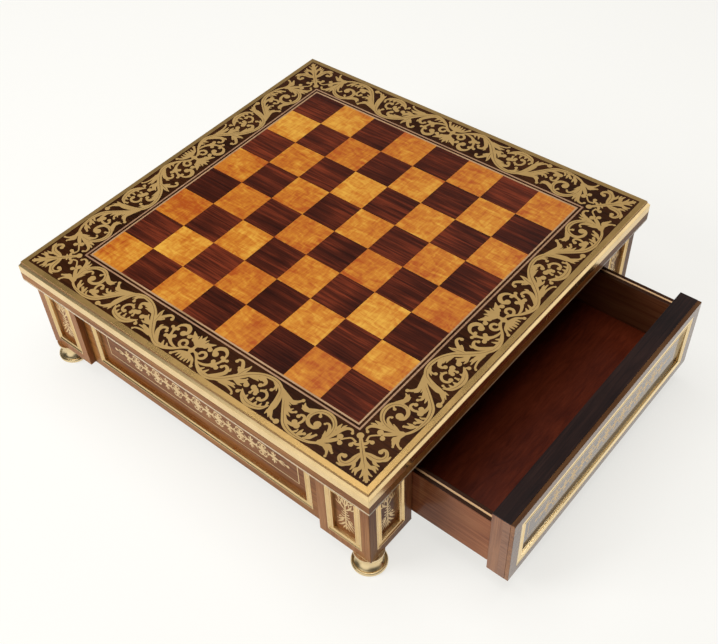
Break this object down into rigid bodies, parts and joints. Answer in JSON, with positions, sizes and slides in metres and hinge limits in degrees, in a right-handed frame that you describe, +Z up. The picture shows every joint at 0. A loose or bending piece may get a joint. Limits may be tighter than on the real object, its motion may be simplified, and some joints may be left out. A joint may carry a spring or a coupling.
{
  "type": "chess box with drawers",
  "caption": "Square chessboard with a brass fretwork border on a shallow wooden case on bun feet, with a drawer under each player's edge.",
  "frame": {"origin": "centre of the case, on the surface that its feet stand on", "axes": "+X out of the drawer that stands open, -Y out of the front panel, +Z up"},
  "size_m": [0.573, 0.473, 0.146],
  "materials": {
    "core_wood": "satin",
    "light_veneer": "french polished",
    "dark_veneer": "french polished",
    "pale_string": "french polished",
    "ebony": "french polished",
    "fret_brass": "matte",
    "edge_brass": "polished",
    "frame_brass": "polished",
    "foot_brass": "polished",
    "rosewood": "french polished",
    "panel_ground": "french polished",
    "front_core_wood": "french polished",
    "capping": "french polished",
    "drawer_wood": "french polished",
    "drawer_floor": "french polished",
    "runner_wood": "waxed",
    "steel": "satin"
  },
  "bodies": {
    "case": {"top_core": "core_wood", "light_squares": "light_veneer", "dark_squares": "dark_veneer", "inner_string": "pale_string", "string_band": "ebony", "outer_string": "pale_string", "border_ground": "ebony", "border_fret": "fret_brass", "edge_moulding": "edge_brass", "frieze_band": "rosewood", "frieze_string": "pale_string", "sub_top": "core_wood", "bottom_board": "core_wood", "centre_divider": "core_wood", "drawer_guides": "core_wood", "drawer_runners": "runner_wood", "drawer_stops": "runner_wood", "front_panel": "rosewood", "front_panel_frame": "frame_brass", "front_panel_ground": "panel_ground", "front_panel_fret": "fret_brass", "back_panel": "rosewood", "back_panel_frame": "frame_brass", "back_panel_ground": "panel_ground", "back_panel_fret": "fret_brass", "right_top_rail": "rosewood", "left_top_rail": "rosewood", "front_right_post": "rosewood", "back_right_post": "rosewood", "back_left_post": "rosewood", "front_left_post": "rosewood", "post_frames": "frame_brass", "post_grounds": "panel_ground", "post_frets": "fret_brass", "front_right_foot": "foot_brass", "back_right_foot": "foot_brass", "back_left_foot": "foot_brass", "front_left_foot": "foot_brass", "foot_studs": "steel", "board_screws": "steel"},
    "right_drawer": {"right_drawer_core": "front_core_wood", "right_drawer_facing": "rosewood", "right_drawer_capping": "capping", "right_drawer_frame": "frame_brass", "right_drawer_ground": "panel_ground", "right_drawer_fret": "fret_brass", "right_drawer_sides": "drawer_wood", "right_drawer_strings": "pale_string", "right_drawer_back": "drawer_wood", "right_drawer_bottom": "drawer_floor"},
    "left_drawer": {"left_drawer_core": "front_core_wood", "left_drawer_facing": "rosewood", "left_drawer_capping": "capping", "left_drawer_frame": "frame_brass", "left_drawer_ground": "panel_ground", "left_drawer_fret": "fret_brass", "left_drawer_sides": "drawer_wood", "left_drawer_strings": "pale_string", "left_drawer_back": "drawer_wood", "left_drawer_bottom": "drawer_floor"}
  },
  "joints": [
    {"name": "right_drawer_slide", "type": "slide", "parent": "case", "child": "right_drawer", "axis": [1, 0, 0], "range_m": [-0.114, 0.0337]},
    {"name": "left_drawer_slide", "type": "slide", "parent": "case", "child": "left_drawer", "axis": [-1, 0, 0], "range_m": [0, 0.1477]}
  ]
}
